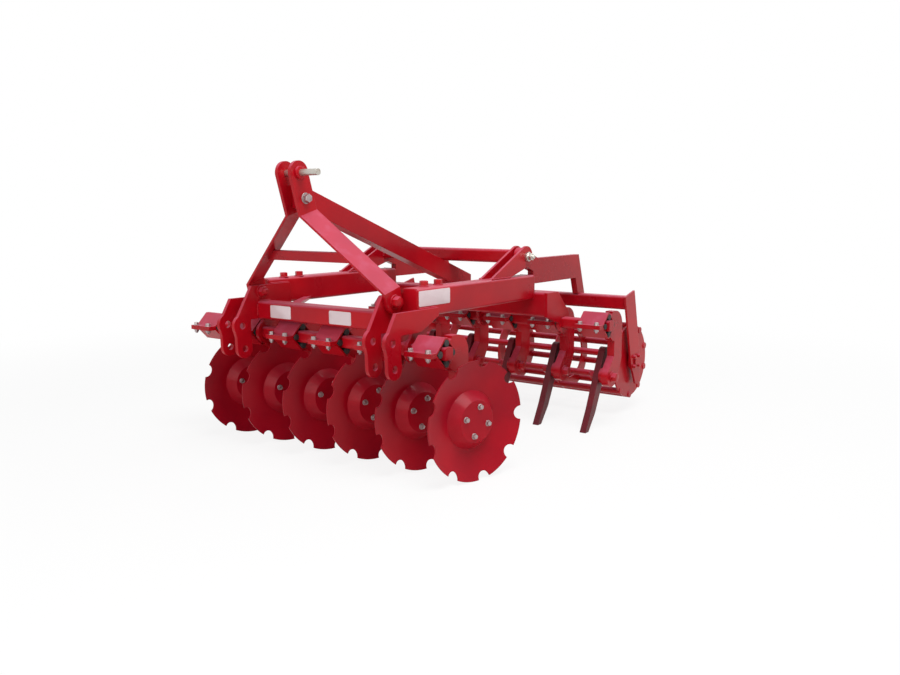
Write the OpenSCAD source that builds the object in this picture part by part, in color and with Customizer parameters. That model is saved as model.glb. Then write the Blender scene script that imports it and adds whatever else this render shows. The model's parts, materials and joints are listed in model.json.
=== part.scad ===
// Mounted compact disc harrow: a row of notched discs on rubber-cord clamps, a row of tines and a cage roller.
// X points to the right as seen from the front, Y to the machine's rear and Z up from the ground.
// Left and right in the names are as seen from the front.

/* [Hitch] */
// Distance between the two lower link points
hitch_spread = 825; // [760:5:880]
// Room between the two plates of a lower link point, also the side beam's width
link_gap = 80; // [76:1:84]
// Thickness of the hitch plates
plate_t = 16; // [12:1:20]
// Diameter of the lower link pin's hole
link_bore_d = 29; // [28.5:0.1:30]
// Radius of the round end of a hitch plate
link_lobe_r = 45; // [40:1:46]
// How far the lower link points lie ahead of the disc hubs
link_ahead = 215; // [214:1:240]
// Height of the lower link points
link_z = 530; // [525:1:545]
// How far the lower of the two link holes lies below the upper one
low_hole_drop = 98; // [94:1:102]
// How far the lower link hole lies behind the upper one
low_hole_back = 10; // [6:1:12]
// Radius of the round end at the lower link hole
low_lobe_r = 40; // [36:1:42]
// Depth of the notch between the two round ends
notch_depth = 14; // [8:1:18]
// Height of the inner hitch plates' upper edge
inner_plate_top = 695; // [690:1:697]
// Height of the outer hitch plates' upper edge
outer_plate_top = 637; // [630:1:645]
// How far the bolts of the mast's feet lie ahead of the disc hubs
foot_ahead = 107; // [104:1:112]
// Height of the bolts of the mast's feet
foot_z = 668; // [664:1:672]
// Length of the weld between a hitch plate and its side beam
plate_weld_l = 110; // [80:5:130]
// Length of the weld between a disc tube's hanger and its side beam
hanger_weld_l = 80; // [60:5:100]

/* [Frame] */
// Height of the side beams
beam_h = 110; // [100:1:114]
// Wall of the frame's tubes
beam_wall = 6; // [4:0.5:8]
// Height of the side beams' underside
beam_z = 605; // [600:1:612]
// How far the side beams reach ahead of the disc hubs
side_front = 50; // [46:1:52]
// How far the side beams reach behind the disc hubs
side_back = 800; // [780:1:808]
// Depth of the front cross beam
front_beam_d = 80; // [70:1:90]
// Height of the front cross beam
front_beam_h = 74; // [70:1:84]
// How far the front cross beam's front face lies ahead of the disc hubs
front_beam_ahead = 131; // [125:1:140]
// Height of the front cross beam's underside
front_beam_z = 553; // [552:1:558]
// Depth of the rear cross beam
rear_beam_d = 100; // [80:1:104]
// Height of the rear cross beam
rear_beam_h = 110; // [106:1:114]
// Height of the rear cross beam's underside
rear_beam_z = 525; // [522:1:528]
// Width of the flat diagonals in the front corners
diagonal_w = 50; // [30:1:70]
// Thickness of the flat diagonals
diagonal_t = 12; // [8:1:16]
// How far a diagonal reaches along the front beam
diagonal_reach_x = 170; // [120:5:220]
// How far a diagonal reaches along the side beam
diagonal_reach_y = 250; // [200:5:300]
// Thickness of the caps on open tube ends
cap_t = 4; // [3:0.5:6]

/* [Mast] */
// Height of the top link pin above the lower link points
mast_height = 620; // [600:5:640]
// How far the top link pin lies ahead of the disc hubs
top_pin_ahead = 247; // [235:1:255]
// Diameter of the top link pin
top_pin_d = 25; // [22:0.5:32]
// Length of the top link pin that stands free on the right
top_pin_free = 90; // [60:5:120]
// Width of the mast's flat bars
mast_bar_w = 90; // [84:1:96]
// Thickness of the mast's flat bars
mast_bar_t = 15; // [12:1:18]
// Room between the two bars at the top
mast_gap = 56; // [52:1:65]
// How far below the top link pin the bars spread out
mast_bend_drop = 150; // [120:5:190]
// Height of the tie between the mast's legs
tie_z = 829; // [800:1:880]
// Height of the tie's flat
tie_h = 40; // [30:1:60]
// Thickness of the tie
tie_t = 12; // [8:1:16]
// Depth of the brace tube behind the mast
brace_d = 80; // [76:1:84]
// How far below the top link pin the brace's centre line meets the mast
brace_drop = 88; // [80:1:100]
// Height of the brace's centre line above the rear beam's front face
brace_foot_z = 688; // [684:1:692]

/* [Discs] */
// Number of discs in the row
disc_count = 6; // [6]
// Spacing of the discs
disc_pitch = 250; // [245:1:255]
// Offset of the disc row to the right of the hitch's middle
row_offset = 62.5; // [60:0.5:64]
// Diameter of a disc
disc_d = 460; // [450:1:462]
// Thickness of a disc
disc_t = 5; // [4:0.5:6]
// Radius of a disc's dish
dish_r = 600; // [520:5:700]
// Angle of the discs to the direction of travel
disc_angle = 13.5; // [10:0.5:16]
// Notches round a disc
notch_count = 9; // [8:1:10]
// Radius of a notch
notch_r = 27; // [20:1:30]
// Diameter of the pressed centre where it leaves the dish
pot_base_d = 226; // [210:1:240]
// Diameter of the flat of the pressed centre
pot_top_d = 160; // [150:1:170]
// How far the pressed centre stands out of the dish
pot_rise = 38; // [34:1:42]
// Diameter of the hub's flange
hub_flange_d = 136; // [120:1:140]
// Thickness of the hub's flange
hub_flange_t = 12; // [8:1:16]
// Diameter of the hub's barrel
hub_d = 80; // [70:1:90]
// Diameter of the stub axle
axle_d = 36; // [30:1:40]
// Room between the hub and the arm's boss
hub_clear = 6; // [5:0.5:8]

/* [Clamps] */
// Side of the square tubes that carry the clamps
clamp_tube = 50; // [48:0.5:54]
// Wall of those tubes
clamp_tube_wall = 6; // [4:0.5:8]
// Height of the middle of those tubes
clamp_tube_z = 487; // [486:0.5:490]
// How far the disc row's tube lies ahead of the hubs
disc_tube_ahead = 70; // [68:1:72]
// How far the tine row's tube lies behind the hubs
tine_tube_back = 960; // [950:1:970]
// Length of a clamp
clamp_l = 126; // [116:1:128]
// Wall of a clamp's shell
clamp_t = 7; // [5:0.5:8]
// Room between the tube's corners and the shell
clamp_room = 5; // [4:0.5:6]
// Length of a clamp's flange
flange_l = 26; // [22:1:27]
// Thickness of a clamp's flange
flange_t = 9; // [6:1:11]
// How far the rubber cords stand out of the clamp
cord_overhang = 3; // [1:0.5:5]
// How far a tube runs past its last clamp
tube_overhang = 10; // [5:1:30]
// How far a disc clamp lies to the left of its disc
disc_clamp_shift = 150; // [148:1:152]

/* [Arms] */
// Thickness of the arms
arm_t = 35; // [25:1:36]
// Width of an arm's leg
arm_w = 80; // [70:1:84]
// How far an arm's leg lies behind its tube
arm_back = 100; // [96:1:102]
// Radius of an arm's shoulder
shoulder_r = 70; // [60:1:74]
// Height of an arm's shoulder above the tube
shoulder_rise = 62; // [58:1:66]
// Radius of an arm's round lower end
arm_end_r = 48; // [44:1:52]

/* [Tines] */
// Thickness of a tine
tine_t = 30; // [20:1:34]
// Width of a tine at its top
tine_w = 58; // [46:1:64]
// Width of a tine at its point
tine_tip_w = 30; // [20:1:40]
// Height of a tine's middle at its bolt
tine_bolt_z = 245; // [235:1:255]
// How far a tine's bolt lies behind the tube
tine_bolt_back = 45; // [40:1:60]
// How far a tine runs on above its bolt
tine_head_l = 110; // [80:5:130]
// Height of a tine's kink
tine_kink_z = 90; // [70:1:120]
// How far a tine's kink lies ahead of its bolt
tine_kink_ahead = 75; // [60:1:90]
// How far a tine's point lies ahead of its bolt
tine_tip_ahead = 135; // [110:1:150]
// Length of the boss between arm and tine
tine_boss_l = 18; // [10:1:24]

/* [Roller] */
// Width over the roller's end plates
roller_w = 1400; // [1300:10:1450]
// How far the roller's axle lies behind the disc hubs
roller_back = 1376; // [1360:1:1400]
// Height of the roller's axle
roller_z = 260; // [255:1:280]
// Diameter of the cage
cage_d = 380; // [360:1:390]
// Diameter of the cage's bars
cage_bar_d = 32; // [26:1:36]
// Number of bars round the cage
cage_bars = 10; // [8:1:12]
// Number of rings along the cage
cage_rings = 5; // [3:1:7]
// Thickness of a ring
ring_t = 8; // [6:1:12]
// Width of a ring between its inner and outer edge
ring_w = 52; // [45:1:70]
// Diameter of the roller's stub shafts
shaft_d = 40; // [30:1:45]
// Thickness of the roller's end plates
end_plate_t = 10; // [8:1:14]
// Width of the roller's end plates
end_plate_w = 105; // [96:1:120]
// How far an end plate runs above the middle of the roller's beam
end_plate_top = 45; // [36:1:52]
// How far an end plate runs below the axle
end_plate_drop = 92; // [70:1:100]
// Length of the bearing housings
housing_l = 12; // [8:1:16]
// Diameter of the bearing housings
housing_d = 90; // [80:1:100]
// Room between the cage and the bearing housings
cage_clear = 8; // [6:1:12]
// Side of the roller's square beam
roller_beam = 65; // [60:1:70]
// How far the roller's beam lies behind the disc hubs
roller_beam_back = 1300; // [1290:1:1310]
// Height of the middle of the roller's beam
roller_beam_z = 558; // [550:1:566]
// Thickness of the roller's arms
roller_arm_t = 30; // [20:1:30]
// Depth of the roller's arms
roller_arm_d = 116; // [100:1:118]
// Height of the roller arms' upper edge
roller_arm_z = 788; // [786:1:800]
// Width of a roller arm's leg
roller_leg_w = 68; // [60:1:70]
// How far the arms' rear corner lies ahead of the roller's beam
roller_leg_lean = 66; // [40:1:80]
// How far the arms' pivot lies behind the disc hubs
pivot_back = 745; // [735:1:750]
// Height of the arms' pivot
pivot_z = 800; // [795:1:810]
// Diameter of the pivot pins
pivot_d = 25; // [20:0.5:26]
// Room between an arm and its bracket's plates
pivot_gap = 5; // [5:0.5:6]
// Thickness of the bracket's plates
bracket_t = 12; // [10:1:16]
// Length of a bracket's foot on the side beam
bracket_foot_l = 150; // [120:5:180]
// How far a bracket's foot reaches ahead of the pivot
bracket_foot_ahead = 285; // [260:5:300]
// Room in the tube between the brackets round the collars of the pins
cross_room = 5.5; // [4:0.5:8]
// Room between a roller arm's neck and the side beam below it
neck_clear = 15; // [10:1:18]
// Room between an arm's front end and the side beam's end
stop_room = 30; // [28:1:36]

/* [Hidden] */
$fn = 48;

// Colours as the paint, the rubber and the bare steel look
paint = [0.74, 0.07, 0.10];
rubber = [0.09, 0.09, 0.09];
steel = [0.62, 0.58, 0.54];

// Clearances and overruns
overrun = 1;
run_clear = 0.05;
seat_clear = 0.3;

// Frame lines
side_x = hitch_spread / 2;
inner_x = side_x - link_gap / 2;
outer_x = side_x + link_gap / 2;
link_y = -link_ahead;
low_hole_y = link_y + low_hole_back;
low_hole_z = link_z - low_hole_drop;
foot_y = -foot_ahead;
beam_top_z = beam_z + beam_h;
front_beam_back_y = front_beam_d - front_beam_ahead;
front_beam_y = front_beam_back_y - front_beam_d / 2;
front_beam_mid_z = front_beam_z + front_beam_h / 2;
rear_beam_y = side_back + rear_beam_d / 2;
rear_beam_mid_z = rear_beam_z + rear_beam_h / 2;
rear_beam_top_z = rear_beam_z + rear_beam_h;
rear_beam_back_y = side_back + rear_beam_d;
corner_r = 2 * beam_wall;
diagonal_z = (front_beam_z + front_beam_h + beam_z - diagonal_t) / 2;

// Shares of the piece that each size follows
collar_d_share = 1.7;
collar_l_share = 0.4;
bracket_eye_share = 1.9;
arm_eye_share = 1.6;
tine_boss_share = 1.5;
ring_seat_share = 0.25;
plate_rake_share = 0.61;
end_plate_foot_share = 0.55;

// Mast lines
top_pin_y = -top_pin_ahead;
top_pin_z = link_z + mast_height;
mast_bend_z = top_pin_z - mast_bend_drop;
brace_top_z = top_pin_z - brace_drop;
mast_in_x = mast_gap / 2;
mast_out_x = mast_in_x + mast_bar_t;
foot_in_x = inner_x;
foot_out_x = inner_x + mast_bar_t;
mast_lean = atan((top_pin_ahead - foot_ahead) / (top_pin_z - foot_z));
mast_l = norm([top_pin_ahead - foot_ahead, top_pin_z - foot_z]);
mast_bend_l = (mast_bend_z - foot_z) / cos(mast_lean);
tie_l = (tie_z - foot_z) / cos(mast_lean);
mast_stub_l = mast_bar_t;
leg_slope = (foot_in_x - mast_in_x) / (mast_bend_l - mast_bar_w / 2);
brace_front_y = foot_y - (brace_top_z - foot_z) * tan(mast_lean);
brace_slope = (brace_foot_z - brace_top_z) / (side_back - brace_front_y);
brace_cut = brace_d * sqrt(1 + brace_slope * brace_slope);
brace_rest_y = side_back + (rear_beam_top_z + brace_cut / 2 - brace_foot_z) / brace_slope;

// Disc and tine rows
hub_z = disc_d / 2;
disc_tube_y = -disc_tube_ahead;
function disc_x(i) = row_offset + (i - (disc_count - 1) / 2) * disc_pitch;
function disc_clamp_x(i) = disc_x(i) - disc_clamp_shift;
tube_end = clamp_l / 2 + tube_overhang;
disc_tube_x0 = disc_clamp_x(0) - tube_end;
disc_tube_x1 = disc_clamp_x(disc_count - 1) + tube_end;
tine_tube_x0 = disc_x(0) - tube_end;
tine_tube_x1 = disc_x(disc_count - 1) + tube_end;
hanger_clear = cord_overhang + run_clear;
// A plate that would meet a clamp moves on into the gap beside it
function gap_x(x) = let (
  first = disc_clamp_x(0), g = first + (round((x - first) / disc_pitch - 0.5) + 0.5) * disc_pitch,
  room = (disc_pitch - clamp_l - plate_t) / 2 - hanger_clear
) max(g - room, min(g + room, x));
left_hanger_x = -outer_x - plate_t;
right_hanger_x = disc_x(disc_count - 2) + clamp_l / 2 + cap_t;

// Clamp profile: the shell is a square on its corner round the flat tube, cut off at top and bottom
cord_r = (clamp_tube / 2 + sqrt(2) * clamp_room) / (1 + sqrt(2));
cord_y = clamp_tube / 2 + cord_r;
shell_in = clamp_tube + sqrt(2) * clamp_room;
shell_out = shell_in + sqrt(2) * clamp_t;
flat_in = cord_y + cord_r + seat_clear;
flat_out = flat_in + clamp_t;

// Disc profile, along the disc's own axis from the rim's plane
rim_r = disc_d / 2;
function dish_u(r) = sqrt(dish_r * dish_r - rim_r * rim_r) - sqrt(dish_r * dish_r - r * r);
dish_steps = 8;
pot_u = dish_u(pot_base_d / 2) + pot_rise;
dish_front = concat(
  [[0, pot_u], [pot_top_d / 2, pot_u]],
  [for (k = [0 : dish_steps])
    let (r = pot_base_d / 2 + (rim_r - pot_base_d / 2) * k / dish_steps) [r, dish_u(r)]]
);
dish_back = [for (k = [len(dish_front) - 1 : -1 : 0]) dish_front[k] - [0, disc_t]];
hub_front_u = pot_u - disc_t;
arm_right = clamp_l / 2;
arm_left = arm_right - arm_t;
boss_u = -(disc_clamp_shift - arm_right - hub_clear / 2) / cos(disc_angle) + hub_clear;
hub_back_u = boss_u + hub_clear;
arm_mid_u = -(disc_clamp_shift - arm_right + arm_t / 2) / cos(disc_angle);
boss_back_u = arm_mid_u - arm_t / 2;
axle_front_u = hub_front_u - hub_flange_t - hub_clear;
boss_d = hub_d;
notch_phase = 90;

// Arms
disc_boss_back = -arm_mid_u * sin(disc_angle) - disc_tube_y;
leg_front = arm_back - arm_w / 2;
leg_rear = arm_back + arm_w / 2;
tine_bolt_y = tine_tube_back + tine_bolt_back;
tine_boss_d = tine_boss_share * arm_end_r;

// Roller
pivot_y = pivot_back;
bracket_in = roller_arm_t / 2 + pivot_gap;
bracket_out = bracket_in + bracket_t;
bracket_r = bracket_eye_share * pivot_d;
arm_eye_r = arm_eye_share * pivot_d;
cross_tube = collar_d_share * pivot_d + 2 * beam_wall + cross_room;
arm_front_y = side_back + stop_room;
arm_under_z = roller_arm_z - roller_arm_d;
leg_foot_z = roller_beam_z + roller_beam / 2;
plate_lean = (roller_back - roller_beam_back) / (roller_beam_z - roller_z);
cage_half = roller_w / 2 - end_plate_t - housing_l - cage_clear;
cage_bar_r = cage_d / 2 - cage_bar_d / 2;
cage_ring_r = cage_bar_r + ring_seat_share * cage_bar_d;
bar_overhang = ring_t / 2;
shaft_overhang = ring_t;

// The origin lies on the ground under the middle of the whole machine
x_low = disc_tube_x0 - cap_t;
x_high = tine_tube_x1 + cap_t;
y_low = top_pin_y - mast_bar_w / 2;
y_high = roller_back + cage_d / 2;
middle = [(x_low + x_high) / 2, (y_low + y_high) / 2, 0];

module placed() { translate(-middle) children(); }

// Each outline drawn in Y and Z becomes a slab from x on, t thick
module slab_x(x, t) {
  for (k = [0 : 1 : $children - 1])
    translate([x, 0, 0]) rotate([90, 0, 90]) linear_extrude(t) children(k);
}

// Each outline drawn in X and Z becomes a slab from y on, t thick
module slab_y(y, t) {
  for (k = [0 : 1 : $children - 1])
    translate([0, y + t, 0]) rotate([90, 0, 0]) linear_extrude(t) children(k);
}

module both_sides() {
  children();
  mirror([1, 0, 0]) children();
}

module rounded_rect(w, h, r) {
  square([w - 2 * r, h], center = true);
  square([w, h - 2 * r], center = true);
  for (x = [-1, 1], y = [-1, 1])
    translate([x * (w / 2 - r), y * (h / 2 - r)]) circle(r);
}

module tube_section(w, h, wall) {
  difference() {
    rounded_rect(w, h, 2 * wall);
    rounded_rect(w - 2 * wall, h - 2 * wall, wall);
  }
}

module tube_x(x0, x1, y, z, d, h, wall) {
  slab_x(x0, x1 - x0) translate([y, z]) tube_section(d, h, wall);
}

module tube_y(y0, y1, x, z, w, h, wall) {
  slab_y(y0, y1 - y0) translate([x, z]) tube_section(w, h, wall);
}

// A bar with parallel or tapering edges between two points of an outline
function bar_side(p, q, w) = [-(q - p).y, (q - p).x] / norm(q - p) * w / 2;
module bar(p, q, wp, wq) {
  polygon([p + bar_side(p, q, wp), q + bar_side(p, q, wq), q - bar_side(p, q, wq), p - bar_side(p, q, wp)]);
}

// Frame

module front_beam() {
  color(paint) placed()
    tube_x(plate_t - inner_x, inner_x - plate_t, front_beam_y, front_beam_mid_z,
      front_beam_d, front_beam_h, beam_wall);
}

module rear_beam() {
  color(paint) placed()
    tube_x(left_hanger_x + plate_t, right_hanger_x, rear_beam_y, rear_beam_mid_z,
      rear_beam_d, rear_beam_h, beam_wall);
}

module side_beam() {
  tube_y(-side_front, side_back, side_x, beam_z + beam_h / 2, link_gap, beam_h, beam_wall);
}

module side_beam_right() { color(paint) placed() side_beam(); }
module side_beam_left() { color(paint) placed() mirror([1, 0, 0]) side_beam(); }

module frame_diagonals() {
  start_x = inner_x - plate_t - diagonal_reach_x;
  color(paint) placed() both_sides()
    translate([0, 0, diagonal_z]) linear_extrude(diagonal_t)
      polygon([
        [start_x, front_beam_back_y], [start_x + diagonal_w, front_beam_back_y],
        [inner_x, front_beam_back_y + diagonal_reach_y - diagonal_w],
        [inner_x, front_beam_back_y + diagonal_reach_y]
      ]);
}

// Hitch

module hitch_plate(x, top_z) {
  weld_end = plate_weld_l - side_front;
  front_y = link_y - link_lobe_r;
  back_y = link_y + link_lobe_r;
  notch_z = (link_z + low_hole_z) / 2;
  difference() {
    slab_x(x, plate_t) {
      translate([link_y, link_z]) circle(link_lobe_r);
      translate([low_hole_y, low_hole_z]) circle(low_lobe_r);
      polygon([
        [front_y + (top_z - link_z) * plate_rake_share, top_z], [front_y, link_z],
        [front_y + notch_depth, notch_z],
        [low_hole_y - low_lobe_r, low_hole_z], [low_hole_y + low_lobe_r, low_hole_z], [back_y, notch_z],
        [back_y, front_beam_z], [front_beam_back_y, front_beam_z], [weld_end, beam_z], [weld_end, top_z]
      ]);
    }
    slab_x(x - overrun, plate_t + 2 * overrun) {
      translate([link_y, link_z]) circle(d = link_bore_d);
      translate([low_hole_y, low_hole_z]) circle(d = link_bore_d);
    }
  }
}

module hitch_plates() {
  hitch_plate(inner_x - plate_t, inner_plate_top);
  hitch_plate(outer_x, outer_plate_top);
}

module hitch_plates_right() { color(paint) placed() hitch_plates(); }
module hitch_plates_left() { color(paint) placed() mirror([1, 0, 0]) hitch_plates(); }

// Mast

// The mast is drawn upright from the bolts of its feet and leans forward as a whole
module on_mast() { translate([0, foot_y, foot_z]) rotate([mast_lean, 0, 0]) children(); }

module mast_bar() {
  half_w = mast_bar_w / 2;
  on_mast() difference() {
    union() {
      slab_x(mast_in_x, mast_bar_t) {
        translate([0, mast_l]) circle(half_w);
        translate([-half_w, mast_bend_l]) square([mast_bar_w, mast_l - mast_bend_l]);
      }
      slab_x(foot_in_x, mast_bar_t) circle(half_w);
      slab_y(-half_w, mast_bar_w)
        polygon([
          [mast_in_x, mast_bend_l + mast_stub_l], [mast_out_x, mast_bend_l + mast_stub_l],
          [mast_out_x, mast_bend_l], [foot_out_x, half_w], [foot_out_x, 0],
          [foot_in_x, 0], [foot_in_x, half_w], [mast_in_x, mast_bend_l]
        ]);
    }
    slab_x(mast_in_x - overrun, mast_bar_t + 2 * overrun)
      translate([0, mast_l]) circle(d = top_pin_d + 2 * run_clear);
  }
}

module mast_bar_right() { color(paint) placed() mast_bar(); }
module mast_bar_left() { color(paint) placed() mirror([1, 0, 0]) mast_bar(); }

function leg_inside(l) = mast_in_x + (mast_bend_l - l) * leg_slope;

module mast_tie() {
  low = tie_l - tie_h / 2;
  high = tie_l + tie_h / 2;
  color(paint) placed() on_mast()
    slab_y(-tie_t / 2, tie_t)
      polygon([
        [-leg_inside(low), low], [leg_inside(low), low],
        [leg_inside(high), high], [-leg_inside(high), high]
      ]);
}

// The brace runs from between the mast's bars to the top of the rear cross beam
module mast_brace() {
  end_z = brace_foot_z + brace_slope * rear_beam_d + brace_cut / 2;
  color(paint) placed()
    slab_x(-mast_in_x, mast_gap)
      polygon([
        [brace_front_y, brace_top_z - brace_cut / 2], [brace_rest_y, rear_beam_top_z],
        [rear_beam_back_y, rear_beam_top_z], [rear_beam_back_y, end_z],
        [brace_front_y, brace_top_z + brace_cut / 2]
      ]);
}

module top_link_pin() {
  collar_l = collar_l_share * top_pin_d;
  color(steel) placed() translate([0, top_pin_y, top_pin_z]) {
    slab_x(-mast_out_x - collar_l, 2 * (mast_out_x + collar_l) + top_pin_free) circle(d = top_pin_d);
    for (x = [-mast_out_x - collar_l, mast_out_x])
      slab_x(x, collar_l) circle(d = collar_d_share * top_pin_d);
  }
}

// Tubes of the two rows and what hangs them under the frame

module row_tube(x0, x1, y) {
  tube_x(x0, x1, y, clamp_tube_z, clamp_tube, clamp_tube, clamp_tube_wall);
}

module disc_tube() { color(paint) placed() row_tube(disc_tube_x0, disc_tube_x1, disc_tube_y); }
module tine_tube() { color(paint) placed() row_tube(tine_tube_x0, tine_tube_x1, tine_tube_back); }

module tube_hole(x, t, y) {
  slab_x(x - overrun, t + 2 * overrun)
    translate([y, clamp_tube_z]) square(clamp_tube, center = true);
}

module disc_tube_hanger(x) {
  low_front = disc_tube_y - clamp_tube;
  low_back = disc_tube_y + clamp_tube;
  difference() {
    slab_x(x, plate_t) {
      translate([disc_tube_y, clamp_tube_z]) circle(clamp_tube);
      polygon([
        [low_front, clamp_tube_z], [low_back, clamp_tube_z],
        [hanger_weld_l - side_front, beam_z], [-side_front, beam_z]
      ]);
    }
    tube_hole(x, plate_t, disc_tube_y);
  }
}

module disc_tube_hangers() {
  color(paint) placed()
    for (x = [-inner_x - plate_t / 2, inner_x + plate_t / 2, outer_x - plate_t / 2])
      disc_tube_hanger(gap_x(x) - plate_t / 2);
}

module tine_tube_hanger(x, front_y) {
  back_y = tine_tube_back + clamp_tube;
  difference() {
    slab_x(x, plate_t) {
      translate([tine_tube_back, clamp_tube_z]) circle(clamp_tube);
      polygon([
        [front_y, rear_beam_top_z], [front_y, rear_beam_z], [tine_tube_back - clamp_tube, clamp_tube_z],
        [back_y, clamp_tube_z], [back_y, rear_beam_z], [rear_beam_back_y, rear_beam_top_z]
      ]);
    }
    tube_hole(x, plate_t, tine_tube_back);
  }
}

module tine_tube_hangers() {
  color(paint) placed() {
    tine_tube_hanger(left_hanger_x, side_back);
    tine_tube_hanger(right_hanger_x, side_back);
    tine_tube_hanger((disc_x(2) + disc_x(3) - plate_t) / 2, rear_beam_back_y);
  }
}

module side_front_cap() {
  slab_y(-side_front - cap_t, cap_t)
    translate([side_x, beam_z + beam_h / 2]) rounded_rect(link_gap - cap_t, beam_h - cap_t, corner_r);
}

// The rear cross beam closes the lower part of a side beam's rear end
module side_rear_cap() {
  cap_h = beam_top_z - rear_beam_top_z;
  slab_y(side_back, cap_t)
    translate([side_x, beam_top_z - cap_h / 2]) square([link_gap - cap_t, cap_h], center = true);
}

module tube_cap_x(x, y) {
  slab_x(x, cap_t) translate([y, clamp_tube_z])
    rounded_rect(clamp_tube - cap_t, clamp_tube - cap_t, clamp_tube_wall);
}

module tube_caps() {
  color(paint) placed() {
    both_sides() {
      side_front_cap();
      side_rear_cap();
    }
    tube_cap_x(disc_tube_x0 - cap_t, disc_tube_y);
    tube_cap_x(disc_tube_x1, disc_tube_y);
    tube_cap_x(tine_tube_x0 - cap_t, tine_tube_back);
    tube_cap_x(tine_tube_x1, tine_tube_back);
  }
}

// Rubber-cord clamps

module hat(reach, flat) {
  polygon([[-reach, 0], [flat - reach, flat], [reach - flat, flat], [reach, 0]]);
}

module clamp_half(x) {
  difference() {
    slab_x(x - clamp_l / 2, clamp_l) {
      hat(shell_out, flat_out);
      translate([-shell_out - flange_l, 0]) square([2 * (shell_out + flange_l), flange_t]);
    }
    slab_x(x - clamp_l / 2 - overrun, clamp_l + 2 * overrun) hat(shell_in, flat_in);
  }
}

// All clamps of a row, the upper halves or, turned over, the lower ones
module clamp_row(y, shift, turn) {
  for (i = [0 : disc_count - 1])
    translate([disc_x(i) - shift, y, clamp_tube_z]) rotate([turn, 0, 0]) clamp_half(0);
}

module cord_row(y, shift) {
  for (i = [0 : disc_count - 1], side = [0 : 3])
    translate([disc_x(i) - shift, y, clamp_tube_z]) rotate([90 * side, 0, 0])
      slab_x(-clamp_l / 2 - cord_overhang, clamp_l + 2 * cord_overhang)
        translate([cord_y, 0]) circle(cord_r - seat_clear);
}

module front_clamp_tops() { color(paint) placed() clamp_row(disc_tube_y, disc_clamp_shift, 0); }
module front_clamp_bottoms() { color(paint) placed() clamp_row(disc_tube_y, disc_clamp_shift, 180); }
module front_rubber_cords() { color(rubber) placed() cord_row(disc_tube_y, disc_clamp_shift); }
module rear_clamp_tops() { color(paint) placed() clamp_row(tine_tube_back, 0, 0); }
module rear_clamp_bottoms() { color(paint) placed() clamp_row(tine_tube_back, 0, 180); }
module rear_rubber_cords() { color(rubber) placed() cord_row(tine_tube_back, 0); }

// Goose-neck arms, drawn from the middle of their clamp

module arm(boss_back, boss_z) {
  end_z = boss_z - clamp_tube_z;
  knee_z = end_z + arm_w;
  difference() {
    slab_x(arm_left, arm_t) {
      translate([leg_rear - shoulder_r, shoulder_rise - shoulder_r]) circle(shoulder_r);
      polygon([
        [shell_out / 2, -flat_out / 2], [shell_out / 2, shoulder_rise],
        [leg_rear - shoulder_r, shoulder_rise], [leg_rear, shoulder_rise - shoulder_r],
        [leg_rear, knee_z], [leg_front, knee_z], [leg_front, -flat_out]
      ]);
      bar([arm_back, knee_z], [boss_back, end_z], arm_w, 2 * arm_end_r);
      translate([arm_back, knee_z]) circle(arm_w / 2);
      translate([boss_back, end_z]) circle(arm_end_r);
    }
    slab_x(arm_left - overrun, arm_t + 2 * overrun) {
      hat(shell_out, flat_out);
      mirror([0, 1]) hat(shell_out, flat_out);
      translate([-shell_out - flange_l, -flange_t]) square([2 * (shell_out + flange_l), 2 * flange_t]);
    }
  }
}

// Puts a shape that is drawn along a disc's axis in its place
module on_axle(i) {
  translate([disc_x(i), 0, hub_z]) rotate([0, 0, -disc_angle]) rotate([0, 90, 0]) children();
}

module front_arms() {
  color(paint) placed()
    for (i = [0 : disc_count - 1]) {
      translate([disc_clamp_x(i), disc_tube_y, clamp_tube_z]) arm(disc_boss_back, hub_z);
      on_axle(i) {
        translate([0, 0, boss_back_u]) cylinder(d = boss_d, h = boss_u - boss_back_u);
        translate([0, 0, boss_back_u]) cylinder(d = axle_d, h = axle_front_u - boss_back_u);
      }
    }
}

module rear_arms() {
  color(paint) placed()
    for (i = [0 : disc_count - 1]) {
      translate([disc_x(i), tine_tube_back, clamp_tube_z]) arm(tine_bolt_back, tine_bolt_z);
      slab_x(disc_x(i) + arm_left - tine_boss_l, tine_boss_l + arm_t / 2)
        translate([tine_bolt_y, tine_bolt_z]) circle(d = tine_boss_d);
    }
}

module tines() {
  bolt = [tine_bolt_y, tine_bolt_z];
  kink = [tine_bolt_y - tine_kink_ahead, tine_kink_z];
  tip = [tine_bolt_y - tine_tip_ahead, 0];
  head = bolt + (bolt - kink) / norm(bolt - kink) * tine_head_l;
  kink_w = (tine_w + tine_tip_w) / 2;
  color(paint) placed()
    for (i = [0 : disc_count - 1])
      slab_x(disc_x(i) + arm_left - tine_boss_l - tine_t, tine_t) {
        translate(head) circle(d = tine_w);
        bar(head, kink, tine_w, kink_w);
        translate(kink) circle(d = kink_w);
        polygon([
          kink + bar_side(kink, tip, kink_w), kink - bar_side(kink, tip, kink_w),
          [tip.x - tine_tip_w / 2, 0], [tip.x + tine_tip_w / 2, 0]
        ]);
      }
}

// Roller

module roller_bracket() {
  foot_front = pivot_y - bracket_foot_ahead;
  for (x = [side_x - bracket_out, side_x + bracket_in])
    difference() {
      slab_x(x, bracket_t) {
        translate([pivot_y, pivot_z]) circle(bracket_r);
        polygon([
          [foot_front, beam_top_z], [foot_front + bracket_foot_l, beam_top_z],
          [pivot_y + bracket_r / 2, pivot_z - bracket_r * sqrt(3) / 2],
          [pivot_y - bracket_r / 2, pivot_z + bracket_r * sqrt(3) / 2]
        ]);
      }
      slab_x(x - overrun, bracket_t + 2 * overrun)
        translate([pivot_y, pivot_z]) circle(d = pivot_d + 2 * run_clear);
    }
}

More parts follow.
